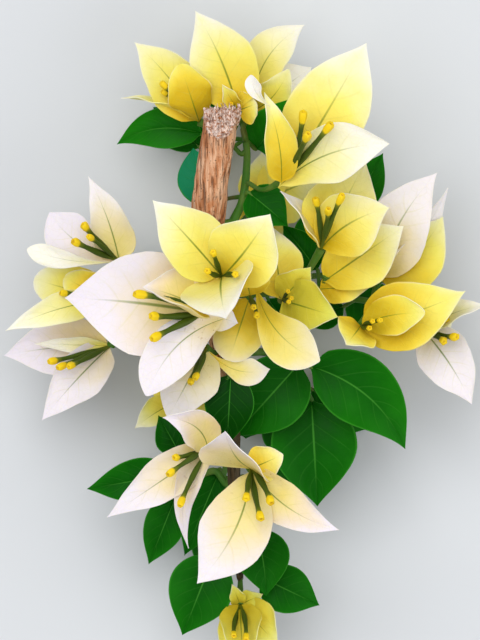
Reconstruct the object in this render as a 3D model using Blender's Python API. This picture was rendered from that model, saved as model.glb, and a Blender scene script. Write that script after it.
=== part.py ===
# A flowering bougainvillea branch, cut from the plant and laid on its back.
#
# One woody stem with a torn end tapers to a thin tip. Leafy shoots leave it on
# both sides and underneath, and every bloom sits on its own stalk: papery bracts
# round a few slim flower tubes. +Y runs from the tip of the branch to the torn
# end, +Z is up, and the lowest leaf tips lie on z = 0.
#
# Places are (column, row, height): a layout grid seen from above, whose rows run
# from the torn end to the tip, and the height over the floor in mm.

import math

import bmesh
import bpy
from mathutils import Matrix, Vector

MM = 0.001
CELL = 0.36 * MM         # one cell of the layout grid
GRID_COL = 243.1         # the cell over the origin
GRID_ROW = 339.5

SHEET = 0.6              # thickness of a bract or a leaf, mm
GAP = 0.35               # clearance between a stalk and what carries it, mm
STRAIGHT_START = 2.0     # a stalk leaves its carrier square on for this far, mm
HEART_RADIUS = 1.9       # the knob where bracts, tubes and stalk meet, mm
STALK_RADIUS = 0.9
PETIOLE_RADIUS = 0.75
PETIOLE_SUNK = 2.5       # how far a petiole runs on inside its leaf, mm
STEM_SIDES = 2           # bevel steps: 8 sides
TWIG_SIDES = 0           # bevel steps: 4 sides
SMOOTH_STEPS = 2         # straight pieces between two points of a route

ACROSS = 2               # faces from edge to edge of a blade
ACROSS_CUPPED = 4        # and of one that is cupped more than this many degrees
WELL_CUPPED = 45
BLADE_ROWS = (0.03, 0.2, 0.45, 0.75, 0.985)
BASE_FULLNESS = 0.75     # exponent of the outline at the base of a blade
TIP_FULLNESS = 1.15      # and at its drawn-out tip
TIP_HALF_WIDTH = 0.45    # a blade is no narrower than this, mm
NECK = 0.08              # share of its length over which a blade opens from its stalk

TUBE_SHAPE = ((0.0, 0.9), (0.4, 1.35), (0.7, 1.15), (1.0, 1.6))   # place, radius in mm

BARK = ("bark", (0.52, 0.36, 0.26, 1.0), 0.9)
GREEN_SHOOT = ("leafy_green", (0.05, 0.27, 0.03, 1.0), 0.4)
YELLOW_BRACTS = ("yellow_bracts", (0.93, 0.82, 0.3, 1.0), 0.55)
CREAM_BRACTS = ("cream_bracts", (0.95, 0.9, 0.78, 1.0), 0.55)

# The stem's route: column, row, height and radius in mm, from the torn end to the tip.
STEM = ((222, 112, 61, 6.0), (218, 140, 61, 6.2), (213, 172, 60, 6.2), (208, 225, 57, 6.0),
        (211, 290, 53, 4.8), (222, 350, 50, 3.8), (231, 410, 48, 3.0), (233, 450, 47, 2.6),
        (236, 520, 44, 1.9), (240, 578, 37, 1.3))

# The slanting break: where it starts on the front of the stem and where it runs out.
BREAK_START = (218, 138, 67.4)
BREAK_END = (221, 106, 60)
SPLINTERS = (((208, 124, 60), (204, 108, 60)), ((234, 124, 59), (239, 104, 59)),
             ((222, 122, 57), (225, 105, 57)), ((214, 122, 61), (215, 107, 62)))
SPLINTER_ROOT = 1.7
SPLINTER_TIP = 0.5

# Each shoot: its route after it leaves its carrier, and its leaves.
SHOOTS = {
    "shoot_upper": dict(
        carrier="stem", foot=(209, 232, 57),
        route=((232, 222, 52, 1.7), (241, 205, 50, 1.6), (245, 185, 48, 1.5), (247, 152, 44, 1.3),
               (243, 128, 41, 1.1)),
        leaves=(dict(base=(203, 133, 34), tip=(116, 143, 26), width=15, sweep=0.12),
                dict(base=(220, 199, 42), tip=(193, 147, 36), width=19, sweep=-0.1),
                dict(base=(256, 148, 32), tip=(299, 96, 51), width=18),
                dict(base=(248, 192, 51), tip=(288, 226, 53), width=16, roll=-10))),
    "shoot_right": dict(
        carrier="stem", foot=(211, 290, 53),
        route=((237, 293, 48, 1.7), (262, 293, 45, 1.6), (300, 290, 43, 1.5), (340, 297, 41, 1.3),
               (372, 302, 39, 1.2), (408, 316, 36, 1.0)),
        leaves=(dict(base=(318, 270, 38), tip=(283, 224, 36), width=13),
                dict(base=(352, 210, 32), tip=(384, 152, 30), width=14),
                dict(base=(345, 306, 34), tip=(300, 322, 28), width=12))),
    "shoot_lower_right": dict(
        carrier="stem", foot=(222, 350, 50),
        route=((244, 352, 46, 1.5), (275, 353, 42, 1.4), (300, 362, 38, 1.2)),
        leaves=(dict(base=(301, 362, 42), tip=(233, 438, 38), width=27),
                dict(base=(309, 366, 46), tip=(406, 450, 40), width=26, sweep=-0.12),
                dict(base=(312, 400, 32), tip=(318, 508, 28), width=32))),
    "shoot_left": dict(
        carrier="stem", foot=(211, 292, 53),
        route=((188, 292, 49, 1.6), (160, 294, 46, 1.5), (135, 298, 43, 1.3), (118, 302, 40, 1.1)),
        leaves=(dict(base=(150, 300, 34), tip=(104, 330, 22), width=18),)),
    "shoot_low_left": dict(
        carrier="stem", foot=(233, 470, 47),
        route=((216, 472, 43, 1.3), (192, 476, 40, 1.1)),
        leaves=(dict(base=(176, 474, 40), tip=(86, 490, 34), width=16),
                dict(base=(176, 496, 36), tip=(148, 566, 30), width=15),
                dict(base=(220, 470, 41), tip=(184, 557, 33), width=17),
                dict(base=(180, 455, 38), tip=(158, 416, 38), width=12))),
    "shoot_low_right": dict(
        carrier="stem", foot=(236, 525, 44),
        route=((248, 535, 43, 1.1), (258, 562, 41, 0.9)),
        leaves=(dict(base=(256, 532, 44), tip=(266, 597, 47), width=20, sweep=-0.04),
                dict(base=(260, 578, 38), tip=(320, 607, 34), width=18))),
    "shoot_low_end": dict(
        carrier="stem", foot=(238, 552, 41),
        route=((228, 556, 43, 1.0), (222, 562, 41, 0.9)),
        leaves=(dict(base=(214, 556, 40), tip=(182, 637, 36), width=24),)),
    "shoot_front": dict(
        carrier="stem", foot=(226, 392, 48),
        route=((226, 384, 56, 1.0), (227, 378, 57, 0.9)),
        leaves=(dict(base=(231, 373, 57), tip=(227, 446, 54), width=18),)),
    "shoot_back_top": dict(
        carrier="stem", foot=(208, 225, 57),
        route=((202, 222, 40, 1.4), (196, 205, 26, 1.2), (205, 172, 15, 1.1), (232, 138, 10, 0.9)),
        leaves=(dict(base=(238, 120, 9), tip=(222, 56, 0), width=20),
                dict(base=(200, 146, 12), tip=(152, 104, 0), width=16),
                dict(base=(256, 130, 9), tip=(335, 95, 0), width=20))),
    "shoot_back_left": dict(
        carrier="stem", foot=(214, 316, 51),
        route=((208, 292, 36, 1.4), (182, 300, 24, 1.2), (155, 302, 16, 1.0)),
        leaves=(dict(base=(146, 302, 14), tip=(84, 298, 0), width=18),
                dict(base=(172, 318, 18), tip=(124, 350, 0), width=16),
                dict(base=(176, 284, 20), tip=(126, 262, 0), width=14))),
    "shoot_back_right": dict(
        carrier="stem", foot=(211, 280, 53),
        route=((224, 280, 36, 1.4), (262, 280, 24, 1.2), (310, 276, 17, 1.1), (350, 272, 12, 0.9)),
        leaves=(dict(base=(360, 270, 10), tip=(428, 235, 0), width=20),
                dict(base=(350, 292, 10), tip=(402, 328, 0), width=20),
                dict(base=(306, 262, 16), tip=(332, 205, 0), width=18),
                dict(base=(268, 298, 18), tip=(300, 345, 0), width=18))),
    "shoot_back_middle": dict(
        carrier="stem", foot=(224, 370, 50),
        route=((236, 372, 34, 1.3), (266, 376, 22, 1.1), (300, 386, 13, 0.9)),
        leaves=(dict(base=(312, 390, 11), tip=(372, 430, 0), width=22),
                dict(base=(284, 396, 15), tip=(300, 470, 0), width=22),
                dict(base=(250, 390, 22), tip=(246, 440, 4), width=18))),
    "shoot_back_low": dict(
        carrier="stem", foot=(232, 452, 47),
        route=((230, 456, 30, 1.3), (222, 480, 20, 1.1), (216, 508, 12, 0.9)),
        leaves=(dict(base=(214, 520, 10), tip=(222, 580, 0), width=20),
                dict(base=(202, 484, 16), tip=(158, 508, 0), width=16),
                dict(base=(246, 478, 18), tip=(300, 505, 0), width=18))),
}

# Each bloom: the knob where it all meets, the stalk's foot and what carries it, its
# bracts, which start at the knob unless a base is given, and the tips of its flower
# tubes, with a size where they aren't full-grown.
BLOOMS = {
    "bloom_top_left": dict(
        heart=(199, 121, 44), carrier="shoot_upper", foot=(246, 150, 44), via=((222, 132, 42),),
        finish=YELLOW_BRACTS,
        bracts=(dict(tip=(134, 41, 40), width=20, cup=30, sweep=0.04),
                dict(tip=(180, 64, 54), width=18, roll=180, cup=45, arch=-0.3, belly=0.55, point=0.55),
                dict(tip=(120, 97, 38), width=20, roll=80, cup=20)),
        tubes=((161, 82, 54, 0.8), (162, 90, 50, 0.8))),
    "bloom_top": dict(
        heart=(238, 110, 46), carrier="shoot_upper", foot=(243, 128, 41), via=(), finish=YELLOW_BRACTS,
        bracts=(dict(tip=(195, 10, 46), width=25, cup=20, sweep=0.04),
                dict(tip=(222, 84, 52), width=7, cup=60),
                dict(tip=(257, 103, 46), width=13, cup=30, point=0.7)),
        tubes=((231, 103, 50, 0.6),)),
    "bloom_top_right": dict(
        heart=(252, 110, 36), carrier="shoot_upper", foot=(247, 142, 43), via=((243, 126, 43.5),),
        finish=CREAM_BRACTS,
        bracts=(dict(tip=(305, 23, 34), width=17, roll=-10, cup=35, sweep=-0.13, belly=0.52),
                dict(tip=(312, 65, 24), width=20, cup=20),
                dict(tip=(289, 68, 46), width=14, cup=20, sweep=0.1, point=0.8)),
        tubes=((268, 98, 30, 0.6),)),
    "bloom_upper_right": dict(
        heart=(287, 178, 70), carrier="shoot_upper", foot=(246, 186, 48), via=((264, 190, 61),),
        finish=CREAM_BRACTS,
        bracts=(dict(tip=(264, 94, 90), base=(281, 184, 72.5), width=14, cup=50, sweep=0.05, twist=40,
                     belly=0.42),
                dict(tip=(251, 77, 95), base=(270, 108, 89), width=6, roll=-25, cup=35, sweep=-0.1,
                     belly=0.72, point=0.8),
                dict(tip=(366, 44, 78), base=(283, 183, 70), width=30, cup=25, sweep=0.01, belly=0.52),
                dict(tip=(389, 145, 84), base=(278, 188, 69), width=22, cup=35, sweep=-0.1, belly=0.56)),
        tubes=((303, 113, 90), (331, 125, 90), (308, 135, 95))),
    "bloom_mid_right": dict(
        heart=(321, 249, 58), carrier="shoot_right", foot=(300, 290, 43), via=(), finish=YELLOW_BRACTS,
        bracts=(dict(tip=(389, 208, 72), width=25, cup=30, sweep=-0.08, belly=0.5),
                dict(tip=(280, 191, 64), width=14, roll=68, cup=20),
                dict(tip=(366, 160, 56), width=28, cup=30)),
        tubes=((328, 209, 79, 0.9), (342, 195, 80, 0.9), (315, 198, 70, 0.9))),
    "bloom_right": dict(
        heart=(327, 275, 49), carrier="shoot_right", foot=(326, 294, 42), via=(), finish=YELLOW_BRACTS,
        bracts=(dict(tip=(404, 226, 56), base=(323, 282, 48), width=24, cup=30, belly=0.48),
                dict(tip=(372, 286, 50), base=(319, 289, 46), width=12, cup=25, belly=0.4),
                dict(tip=(376, 250, 30), width=16, cup=30)),
        tubes=()),
    "bloom_right_pale": dict(
        heart=(379, 279, 40), carrier="shoot_right", foot=(366, 300, 39), via=(), finish=CREAM_BRACTS,
        bracts=(dict(tip=(438, 172, 52), width=26, cup=30, sweep=-0.07, belly=0.4, point=1.2),
                dict(tip=(449, 187, 42), width=13, roll=50, cup=30),
                dict(tip=(444, 216, 42), width=25, cup=25, sweep=0.08)),
        tubes=()),
    "bloom_right_open": dict(
        heart=(361, 326, 50.5), carrier="shoot_right", foot=(372, 302, 39), via=(), finish=YELLOW_BRACTS,
        bracts=(dict(tip=(466, 291, 54), width=26, cup=25, sweep=0.035, belly=0.39, point=1.25),
                dict(tip=(425, 313, 64), width=15, cup=20, sweep=-0.06, belly=0.55, point=0.7),
                dict(tip=(346, 345, 64), width=17, cup=15, belly=0.5)),
        tubes=((373, 321, 66, 0.65), (381, 320, 66, 0.65), (370, 328, 66, 0.65))),
    "bloom_far_right": dict(
        heart=(424, 330, 36), carrier="shoot_right", foot=(408, 316, 36), via=(), finish=CREAM_BRACTS,
        bracts=(dict(tip=(473, 405, 40), width=20, cup=30, sweep=-0.04),
                dict(tip=(487, 305, 46), width=13, roll=-50, cup=30),
                dict(tip=(446, 338, 6), width=18, cup=20)),
        tubes=((448, 318, 46), (458, 337, 50), (445, 342, 50))),
    "bloom_front": dict(
        heart=(222, 277, 84), carrier="stem", foot=(211, 286, 53), via=(), finish=YELLOW_BRACTS,
        bracts=(dict(tip=(153, 201, 86), width=24, roll=8, cup=30),
                dict(tip=(270, 215, 100), width=28, cup=30, sweep=0.03, belly=0.47),
                dict(tip=(226, 319, 110), width=30, roll=22, cup=26)),
        tubes=((213, 252, 100, 0.85), (207, 271, 100, 0.85), (236, 275, 102, 0.85))),
    "bloom_front_left": dict(
        heart=(206, 313, 72), carrier="stem", foot=(213, 312, 52), via=(), finish=CREAM_BRACTS,
        bracts=(dict(tip=(65, 298, 68), width=39, cup=20, sweep=0.02),
                dict(tip=(147, 396, 78), base=(227, 318, 70), width=19, cup=25, sweep=0.13, belly=0.58,
                     point=0.75),
                dict(tip=(238, 323, 66), width=10, cup=20),
                dict(tip=(143, 287, 84), width=26, roll=40, cup=75)),
        tubes=((135, 294, 88, 1.1), (151, 316, 88, 1.1), (152, 339, 88, 1.1))),
    "bloom_centre": dict(
        heart=(250, 296, 64), carrier="shoot_right", foot=(252, 293, 46), via=(), finish=YELLOW_BRACTS,
        bracts=(dict(tip=(320, 361, 72), base=(256, 286, 64), width=18, roll=10, cup=20, sweep=0.12,
                     belly=0.68, point=0.9),
                dict(tip=(229, 361, 62), width=20, roll=180, cup=40, belly=0.55, point=0.5),
                dict(tip=(244, 262, 66), width=16, cup=30)),
        tubes=((254, 308, 76, 0.75), (257, 317, 76, 0.75))),
    "bloom_centre_right": dict(
        heart=(282, 300, 52), carrier="shoot_right", foot=(285, 291, 44), via=(), finish=YELLOW_BRACTS,
        bracts=(dict(tip=(338, 317, 62), width=20, cup=25),
                dict(tip=(311, 267, 58), width=14, cup=30),
                dict(tip=(272, 226, 44), width=20, cup=30)),
        tubes=((288, 291, 64, 0.6), (292, 298, 64, 0.6), (289, 302, 64, 0.6))),
    "bloom_lower_left": dict(
        heart=(206, 348, 58), carrier="stem", foot=(221, 346, 50), via=(), finish=YELLOW_BRACTS,
        bracts=(dict(tip=(168, 418, 58), width=22, cup=30, point=0.8),
                dict(tip=(270, 369, 55), width=10, cup=30, sweep=0.17, belly=0.7),
                dict(tip=(160, 330, 50), width=18, cup=20)),
        tubes=((190, 384, 66, 0.85), (195, 379, 69, 0.85))),
    "bloom_left": dict(
        heart=(119, 261, 52), carrier="shoot_left", foot=(128, 299, 42), via=(), finish=CREAM_BRACTS,
        bracts=(dict(tip=(88, 176, 58), width=16, cup=30, sweep=0.04, belly=0.3),
                dict(tip=(49, 212, 48), width=18, cup=25, sweep=-0.1, belly=0.62, point=0.95),
                dict(tip=(27, 249, 62), width=8.5, cup=30, sweep=-0.06, belly=0.78, point=0.75)),
        tubes=((83, 224, 64), (88, 236, 66, 0.8), (73, 241, 66))),
    "bloom_left_mid": dict(
        heart=(106, 300, 48), carrier="shoot_left", foot=(118, 302, 40), via=(), finish=YELLOW_BRACTS,
        bracts=(dict(tip=(5, 331, 54), width=12, cup=25, sweep=0.05),
                dict(tip=(33, 279, 38), width=19, cup=30, point=0.5),
                dict(tip=(64, 277, 50), width=15, cup=30, point=0.5)),
        tubes=((60, 293, 56, 0.8),)),
    "bloom_left_low": dict(
        heart=(110, 346, 36), carrier="shoot_left", foot=(122, 301, 41), via=(), finish=CREAM_BRACTS,
        bracts=(dict(tip=(2, 356, 30), width=22, cup=20, sweep=0.03),
                dict(tip=(33, 344, 42), width=6, cup=40, sweep=0.0, belly=0.45),
                dict(tip=(41, 421, 42), width=18, cup=30, sweep=0.02)),
        tubes=((48, 362, 50, 0.9), (57, 368, 52, 0.9), (68, 367, 54, 0.9))),
    "bloom_low_left": dict(
        heart=(208, 449, 68), carrier="stem", foot=(233, 452, 47), via=((216, 458, 57),),
        finish=CREAM_BRACTS,
        bracts=(dict(tip=(107, 517, 70), width=17, cup=32, belly=0.36, point=1.15),
                dict(tip=(163, 417, 84), width=15, cup=40, sweep=0.16, belly=0.38),
                dict(tip=(189, 548, 72), width=10, cup=30, sweep=0.14, belly=0.27, point=1.2)),
        tubes=((174, 457, 80, 0.9), (168, 474, 82, 0.9), (180, 505, 84, 0.9))),
    "bloom_low": dict(
        heart=(251, 468, 74), carrier="stem", foot=(234, 462, 47), via=(), finish=CREAM_BRACTS,
        bracts=(dict(tip=(225, 430, 100), width=29, roll=-55, cup=30),
                dict(tip=(339, 529, 78), width=16, cup=30, sweep=0.1),
                dict(tip=(283, 454, 77), width=14, cup=30, point=0.8),
                dict(tip=(197, 582, 84), width=26, cup=20, sweep=-0.09, belly=0.52)),
        tubes=((246, 498, 92), (261, 518, 92), (271, 502, 92))),
    "bloom_tip": dict(
        heart=(240, 606, 38), carrier="stem", foot=(240, 578, 37), via=(), finish=YELLOW_BRACTS,
        bracts=(dict(tip=(278, 646, 44), width=17, cup=35),
                dict(tip=(222, 662, 42), width=11, cup=30),
                dict(tip=(243, 668, 60), width=16, cup=40),
                dict(tip=(232, 585, 46), width=6, cup=30),
                dict(tip=(263, 595, 42), width=8, cup=30)),
        tubes=((234, 636, 62, 0.8), (246, 640, 62, 0.8))),
    "bloom_back_top": dict(
        heart=(262, 200, 24), carrier="stem", foot=(209, 240, 57), via=((236, 226, 38),),
        finish=YELLOW_BRACTS,
        bracts=(dict(tip=(262, 150, 14), width=18, roll=180, cup=25),
                dict(tip=(330, 170, 8), width=24, roll=180, cup=25),
                dict(tip=(262, 262, 6), width=20, roll=180, cup=25)),
        tubes=((266, 196, 8),)),
    "bloom_back_left": dict(
        heart=(174, 404, 26), carrier="stem", foot=(225, 385, 49), via=((200, 392, 34),),
        finish=YELLOW_BRACTS,
        bracts=(dict(tip=(134, 429, 32), width=11, cup=25, sweep=0.04),
                dict(tip=(168, 354, 16), width=16, roll=180, cup=25),
                dict(tip=(212, 458, 8), width=22, roll=180, cup=25)),
        tubes=((176, 396, 10),)),
}


def clear_scene():
    for thing in list(bpy.data.objects):
        bpy.data.objects.remove(thing, do_unlink=True)


def spot(col, row, height):
    return Vector(((col - GRID_COL) * CELL, (GRID_ROW - row) * CELL, height * MM))


def material(name, colour, roughness):
    found = bpy.data.materials.get(name)
    if found:
        return found
    made = bpy.data.materials.new(name)
    made.use_nodes = True
    shader = made.node_tree.nodes["Principled BSDF"]
    shader.inputs["Base Color"].default_value = colour
    shader.inputs["Roughness"].default_value = roughness
    return made


def add_object(name, mesh):
    thing = bpy.data.objects.new(name, mesh)
    bpy.context.scene.collection.objects.link(thing)
    return thing


# ---- routes and limbs

def smooth_route(route, steps):
    """Points (place, radius) along a Catmull-Rom curve through the route."""
    knots = [Vector((*spot(col, row, height), radius * MM)) for col, row, height, radius in route]
    knots = [2 * knots[0] - knots[1]] + knots + [2 * knots[-1] - knots[-2]]
    points = []
    for a, b, c, d in zip(knots, knots[1:], knots[2:], knots[3:]):
        for step in range(steps):
            t = step / steps
            points.append(0.5 * (2 * b + (c - a) * t + (2 * a - 5 * b + 4 * c - d) * t * t
                                 + (3 * b - a - 3 * c + d) * t ** 3))
    points.append(knots[-2])
    return [(Vector(point[:3]), point[3]) for point in points]


def limb(points, sides):
    """A round tapering limb with flat ends, through (place, radius) points."""
    curve = bpy.data.curves.new("limb", "CURVE")
    curve.dimensions = "3D"
    curve.bevel_depth = 1.0
    curve.bevel_resolution = sides
    curve.use_fill_caps = True
    spline = curve.splines.new("POLY")
    spline.points.add(len(points) - 1)
    for knot, (place, radius) in zip(spline.points, points):
        knot.co = (*place, 1.0)
        knot.radius = radius
    guide = add_object("limb_guide", curve)
    view = guide.evaluated_get(bpy.context.evaluated_depsgraph_get())
    mesh = bpy.data.meshes.new_from_object(view)
    bpy.data.objects.remove(guide)
    shape = bmesh.new()
    shape.from_mesh(mesh)
    bmesh.ops.remove_doubles(shape, verts=shape.verts, dist=1e-7)
    bmesh.ops.recalc_face_normals(shape, faces=shape.faces)
    shape.to_mesh(mesh)
    shape.free()
    return add_object("limb", mesh)


def nearest(path, place):
    return min(path, key=lambda point: (point[0] - place).length)


def seat(path, foot, towards):
    """Where a stalk starts, square on to its carrier, and how it leaves it."""
    axis, radius = nearest(path, foot)
    index = path.index((axis, radius))
    if index == len(path) - 1:
        leave = (axis - path[index - 1][0]).normalized()
        return axis + leave * GAP * MM, leave
    run = (path[index + 1][0] - path[max(index - 1, 0)][0]).normalized()
    leave = towards - axis
    leave = (leave - run * leave.dot(run)).normalized()
    return axis + leave * (radius + GAP * MM), leave


def stalk_points(path, foot, vias, heart, radius):
    start, leave = seat(path, foot, vias[0] if vias else heart)
    places = [start, start + leave * STRAIGHT_START * MM, *vias, heart]
    return [(place, radius) for place in places]


# ---- blades and flower tubes

def outline(u, belly, point):
    power = math.log(0.5) / math.log(belly)
    fullness = BASE_FULLNESS + (point - BASE_FULLNESS) * u
    return math.sin(math.pi * u ** power) ** fullness * min(1.0, u / NECK)


def blade_frame(base, tip, roll):
    along = (tip - base).normalized()
    face = Vector((0, 0, 1))
    face = (face - along * along.z).normalized()
    side = along.cross(face)
    turn = Matrix.Rotation(math.radians(roll), 3, along)
    return along, turn @ side, turn @ face


def blade_point(base, tip, frame, u, v, width, arch=0.08, sweep=0.0, cup=20, twist=0, belly=0.4,
                point=TIP_FULLNESS):
    """A place on a blade: u runs from its base to its tip, v from edge to edge."""
    along, side, face = frame
    length = (tip - base).length
    bow = 4 * u * (1 - u) * length
    lean = 4 * (1 - 2 * u)
    midrib = base + along * length * u + face * arch * bow + side * sweep * bow
    tangent = (along + face * arch * lean + side * sweep * lean).normalized()
    normal = (face - tangent * face.dot(tangent)).normalized()
    turn = Matrix.Rotation(math.radians(twist * u * u), 3, tangent)
    normal = turn @ normal
    across = tangent.cross(normal)
    bend = math.radians(cup * (1 - u ** 8) + 1)
    curl = max(width / 2 * outline(u, belly, point), TIP_HALF_WIDTH) * MM / bend
    return midrib + across * curl * math.sin(bend * v) + normal * curl * (1 - math.cos(bend * v))


def blade(base, tip, width, roll=0, **shape):
    """A bract or a leaf, a closed sheet that never dips below the floor."""
    frame = blade_frame(base, tip, roll)
    columns = ACROSS_CUPPED if shape.get("cup", 0) > WELL_CUPPED else ACROSS
    sheet = bmesh.new()
    bmesh.ops.create_grid(sheet, x_segments=columns, y_segments=len(BLADE_ROWS) - 1, size=1)
    for vert in sheet.verts:
        row = round((vert.co.y + 1) / 2 * (len(BLADE_ROWS) - 1))
        place = blade_point(base, tip, frame, BLADE_ROWS[row], vert.co.x, width, **shape)
        place.z = max(place.z, SHEET * MM / 2)
        vert.co = place
    sheet.normal_update()
    normals = {vert: vert.normal.copy() for vert in sheet.verts}
    for vert, normal in normals.items():
        vert.co -= normal * SHEET * MM / 2
    bmesh.ops.solidify(sheet, geom=sheet.faces, thickness=-SHEET * MM)
    bmesh.ops.recalc_face_normals(sheet, faces=sheet.faces)
    for vert in sheet.verts:
        vert.co.z = max(vert.co.z, 0.0)
    mesh = bpy.data.meshes.new("blade")
    sheet.to_mesh(mesh)
    sheet.free()
    return add_object("blade", mesh)


def tube(heart, tip, size):
    return limb([(heart.lerp(tip, place), radius * size * MM) for place, radius in TUBE_SHAPE], TWIG_SIDES)


def knob(heart, radius):
    ball = bmesh.new()
    bmesh.ops.create_icosphere(ball, subdivisions=1, radius=radius * MM, matrix=Matrix.Translation(heart))
    mesh = bpy.data.meshes.new("knob")
    ball.to_mesh(mesh)
    ball.free()
    return add_object("knob", mesh)


def fuse(name, core, parts, finish):
    """One solid of the core and its parts, by a Boolean union that is applied."""
    group = bpy.data.collections.new(name + "_parts")
    bpy.context.scene.collection.children.link(group)
    for part in parts:
        bpy.context.scene.collection.objects.unlink(part)
        group.objects.link(part)
    union = core.modifiers.new("union", "BOOLEAN")
    union.operation = "UNION"
    union.operand_type = "COLLECTION"
    union.collection = group
    union.solver = "EXACT"
    view = core.evaluated_get(bpy.context.evaluated_depsgraph_get())
    mesh = bpy.data.meshes.new_from_object(view)
    for part in parts:
        bpy.data.objects.remove(part)
    bpy.data.objects.remove(core)
    bpy.data.collections.remove(group)
    mesh.materials.clear()
    mesh.materials.append(material(*finish))
    return add_object(name, mesh)


# ---- the pieces

def build_stem(path):
    """The woody stem: its thick end is broken off aslant, with splinters left standing."""
    stem = limb(path, STEM_SIDES)
    wood = bmesh.new()
    wood.from_mesh(stem.data)
    near, far = spot(*BREAK_START), spot(*BREAK_END)
    across = Vector((1, 0, 0))
    cut = bmesh.ops.bisect_plane(wood, geom=wood.verts[:] + wood.edges[:] + wood.faces[:], plane_co=near,
                                 plane_no=across.cross(far - near), clear_outer=True)
    edges = [part for part in cut["geom_cut"] if isinstance(part, bmesh.types.BMEdge)]
    bmesh.ops.contextual_create(wood, geom=edges)
    bmesh.ops.recalc_face_normals(wood, faces=wood.faces)
    wood.to_mesh(stem.data)
    wood.free()
    splinters = [limb([(spot(*root), SPLINTER_ROOT * MM), (spot(*tip), SPLINTER_TIP * MM)], TWIG_SIDES)
                 for root, tip in SPLINTERS]
    fuse("stem", stem, splinters, BARK)


def build_shoot(name, plan, paths):
    """A twig and its leaves, each leaf on a petiole from the nearest part of the twig."""
    route = plan["route"]
    start, leave = seat(paths[plan["carrier"]], spot(*plan["foot"]), spot(*route[0][:3]))
    radius = route[0][3] * MM
    path = [(start, radius), (start + leave * STRAIGHT_START * MM, radius)]
    path += smooth_route(route, SMOOTH_STEPS)
    paths[name] = path
    parts = []
    for leaf in plan["leaves"]:
        shape = dict(leaf)
        base = spot(*shape.pop("base"))
        tip = spot(*shape.pop("tip"))
        axis, _ = nearest(path[2:-1], base)
        sunk = base + (tip - base).normalized() * PETIOLE_SUNK * MM
        parts.append(limb([(axis, PETIOLE_RADIUS * MM), (base, PETIOLE_RADIUS * MM),
                           (sunk, PETIOLE_RADIUS * MM)], 0))
        parts.append(blade(base, tip, **shape))
    fuse(name, limb(path, TWIG_SIDES), parts, GREEN_SHOOT)


def build_bloom(name, plan, paths):
    heart = spot(*plan["heart"])
    vias = [spot(*via) for via in plan["via"]]
    stalk = stalk_points(paths[plan["carrier"]], spot(*plan["foot"]), vias, heart, STALK_RADIUS * MM)
    parts = [limb(stalk, TWIG_SIDES)]
    for bract in plan["bracts"]:
        shape = dict(bract)
        base = spot(*shape.pop("base", plan["heart"]))
        parts.append(blade(base, spot(*shape.pop("tip")), **shape))
    for col, row, height, *size in plan["tubes"]:
        parts.append(tube(heart, spot(col, row, height), size[0] if size else 1))
    fuse(name, knob(heart, HEART_RADIUS), parts, plan["finish"])


def build_branch():
    clear_scene()
    paths = {"stem": smooth_route(STEM, SMOOTH_STEPS)}
    build_stem(paths["stem"])
    for name, plan in SHOOTS.items():
        build_shoot(name, plan, paths)
    for name, plan in BLOOMS.items():
        build_bloom(name, plan, paths)


build_branch()
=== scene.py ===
import math

import bpy
import numpy as np
from mathutils import Matrix, Vector, noise


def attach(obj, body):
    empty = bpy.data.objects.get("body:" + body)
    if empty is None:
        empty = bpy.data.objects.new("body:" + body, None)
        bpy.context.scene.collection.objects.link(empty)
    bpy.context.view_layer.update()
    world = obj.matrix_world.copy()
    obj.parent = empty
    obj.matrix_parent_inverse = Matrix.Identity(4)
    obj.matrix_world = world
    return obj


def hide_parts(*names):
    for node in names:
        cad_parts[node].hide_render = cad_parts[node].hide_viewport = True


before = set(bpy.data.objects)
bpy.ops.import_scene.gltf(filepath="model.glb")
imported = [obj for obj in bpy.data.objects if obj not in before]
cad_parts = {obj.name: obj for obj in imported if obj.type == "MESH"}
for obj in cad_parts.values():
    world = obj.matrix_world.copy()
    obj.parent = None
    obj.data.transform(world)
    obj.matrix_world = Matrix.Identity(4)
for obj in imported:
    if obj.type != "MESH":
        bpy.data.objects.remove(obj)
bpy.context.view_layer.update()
print("frame loaded:", len(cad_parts), "nodes")

mm = 0.001
layout = dict(cell=0.36 * mm, column=243.1, row=339.5)   # the grid that places are given in


def spot(column, row, height):
    x = (column - layout["column"]) * layout["cell"]
    y = (layout["row"] - row) * layout["cell"]
    return Vector((x, y, height * mm))


def pick(pieces):
    bpy.ops.object.select_all(action="DESELECT")
    for piece in pieces:
        piece.select_set(True)
    bpy.context.view_layer.objects.active = pieces[0]


# the camera looks straight down on the branch from far off
cameraSetup = dict(column=240, row=320, focusHeight=58, distance=4.0, framedRows=640, sensor=24.0)


def addCamera():
    setup = cameraSetup
    place = spot(setup["column"], setup["row"], setup["focusHeight"])
    place.z += setup["distance"]
    data = bpy.data.cameras.new("viewCamera")
    data.sensor_width = setup["sensor"]
    data.lens = setup["sensor"] * setup["distance"] / (setup["framedRows"] * layout["cell"])
    camera = bpy.data.objects.new("viewCamera", data)
    camera.location = place
    bpy.context.scene.collection.objects.link(camera)
    bpy.context.scene.camera = camera


addCamera()
print("camera placed")


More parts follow.
